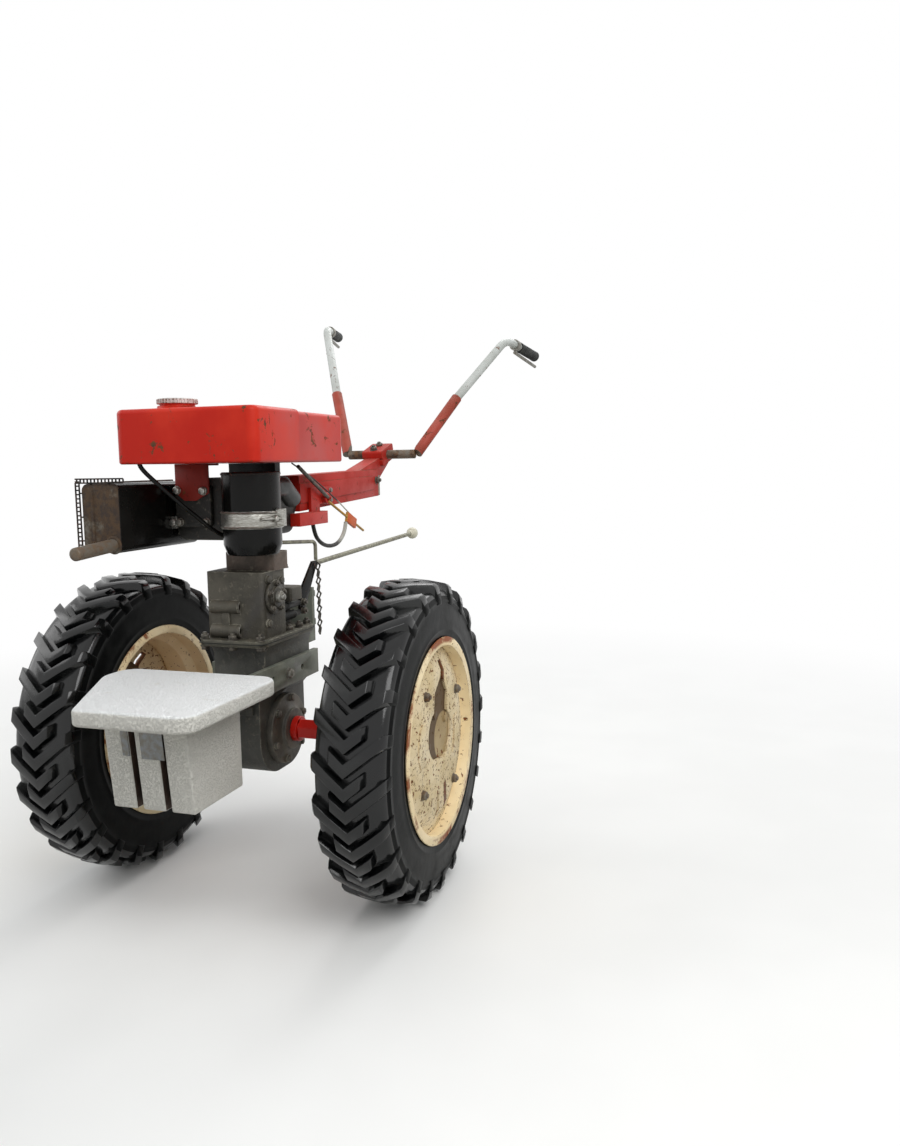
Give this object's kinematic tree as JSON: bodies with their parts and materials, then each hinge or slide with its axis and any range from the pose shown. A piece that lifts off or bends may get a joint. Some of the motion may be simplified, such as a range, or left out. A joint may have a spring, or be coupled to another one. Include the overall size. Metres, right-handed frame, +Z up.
{
  "type": "walking tractor",
  "caption": "Walking tractor with lugged wheels on half axles, an engine over a cast gearbox, a front ballast weight, a rear hitch and a handlebar that sets to height.",
  "frame": {"origin": "centre of the hitch pin bore in the lower lug of the rear clevis", "axes": "+X forward, +Y to the tractor's left, +Z up"},
  "size_m": [1.8453, 0.852, 1.3915],
  "materials": {
    "tyre_rubber": "matt, dusty",
    "wheel_paint": "worn gloss with rust",
    "red_paint": "worn gloss",
    "white_paint": "satin, chipped",
    "cast_metal": "rough, oily",
    "engine_metal": "rough, sooty",
    "black_paint": "semi-gloss",
    "zinc_steel": "dull",
    "rusty_steel": "rusty",
    "black_rubber": "matt",
    "lever_metal": "worn"
  },
  "bodies": {
    "chassis": {"clamp_block": "red_paint", "fuel_tank": "red_paint", "handle_beam": "red_paint", "tank_bracket_front": "red_paint", "tank_bracket_rear": "red_paint", "control_bracket": "red_paint", "weight_cap": "white_paint", "weight_body": "white_paint", "fuel_cap": "white_paint", "final_drive": "cast_metal", "flange_plate": "cast_metal", "gearbox_case": "cast_metal", "gearbox_rear_case": "cast_metal", "engine_neck": "cast_metal", "side_cover": "cast_metal", "selector_housing": "cast_metal", "bearing_flange_left": "cast_metal", "bearing_flange_right": "cast_metal", "engine_block": "engine_metal", "engine_cover": "engine_metal", "fan_cowl": "engine_metal", "weight_carrier": "engine_metal", "air_cleaner_can": "black_paint", "air_cleaner_bowl": "black_paint", "air_cleaner_band": "zinc_steel", "hitch_chain": "zinc_steel", "hitch_bracket": "zinc_steel", "side_rail_left": "zinc_steel", "side_rail_right": "zinc_steel", "muffler": "rusty_steel", "tailpipe": "rusty_steel", "exhaust_stub": "rusty_steel", "intake_elbow": "black_rubber", "lever_boots": "black_rubber", "control_strap": "black_rubber", "throttle_cable": "black_rubber", "gear_lever": "lever_metal", "lever_stay": "lever_metal", "throttle_rod": "lever_metal", "choke_wire": "lever_metal"},
    "wheel_left": {"tyre_left": "tyre_rubber", "rim_left": "wheel_paint", "wheel_disc_left": "wheel_paint", "half_axle_left": "red_paint"},
    "wheel_right": {"tyre_right": "tyre_rubber", "rim_right": "wheel_paint", "wheel_disc_right": "wheel_paint", "half_axle_right": "red_paint"},
    "handlebar": {"cross_tube": "rusty_steel", "handle_lower_left": "red_paint", "handle_lower_right": "red_paint", "handle_upper_left": "white_paint", "handle_upper_right": "white_paint", "grip_left": "black_rubber", "grip_right": "black_rubber", "hand_lever_left": "black_paint", "hand_lever_right": "black_paint"}
  },
  "joints": [
    {"name": "wheel_left_spin", "type": "hinge", "parent": "chassis", "child": "wheel_left", "pos_m": [0.225, 0, -0.205], "axis": [0, 1, 0], "continuous": true},
    {"name": "wheel_right_spin", "type": "hinge", "parent": "chassis", "child": "wheel_right", "pos_m": [0.225, 0, -0.205], "axis": [0, 1, 0], "continuous": true},
    {"name": "handlebar_height", "type": "hinge", "parent": "chassis", "child": "handlebar", "pos_m": [-0.515, 0, 0.413], "axis": [0, 1, 0], "range_deg": [-20, 25]}
  ]
}
